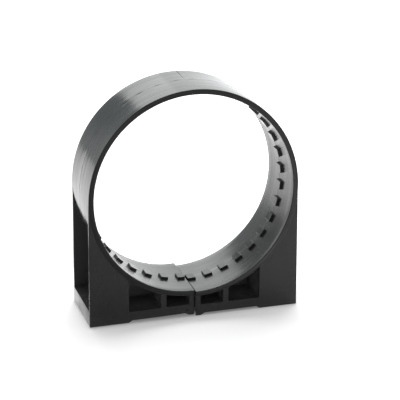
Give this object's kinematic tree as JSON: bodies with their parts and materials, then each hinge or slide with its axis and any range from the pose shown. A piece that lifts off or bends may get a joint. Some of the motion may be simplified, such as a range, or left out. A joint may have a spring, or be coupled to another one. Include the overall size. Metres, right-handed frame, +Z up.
{
  "type": "filter mounting band",
  "caption": "Split ring with grip lugs on its bore, standing on two hollow legs with bolt slots, that clamps a cylindrical filter housing to a flat surface.",
  "frame": {"origin": "middle of the base's mounting plane, under the ring", "axes": "+Z up from the mounting plane, ring axis along Y, front at -Y, legs left and right along X"},
  "size_m": [0.2018, 0.069, 0.2199],
  "materials": {
    "glass_filled_nylon": "semi-gloss as-moulded black"
  },
  "bodies": {
    "root": {"mounting_band": "glass_filled_nylon"}
  },
  "joints": []
}
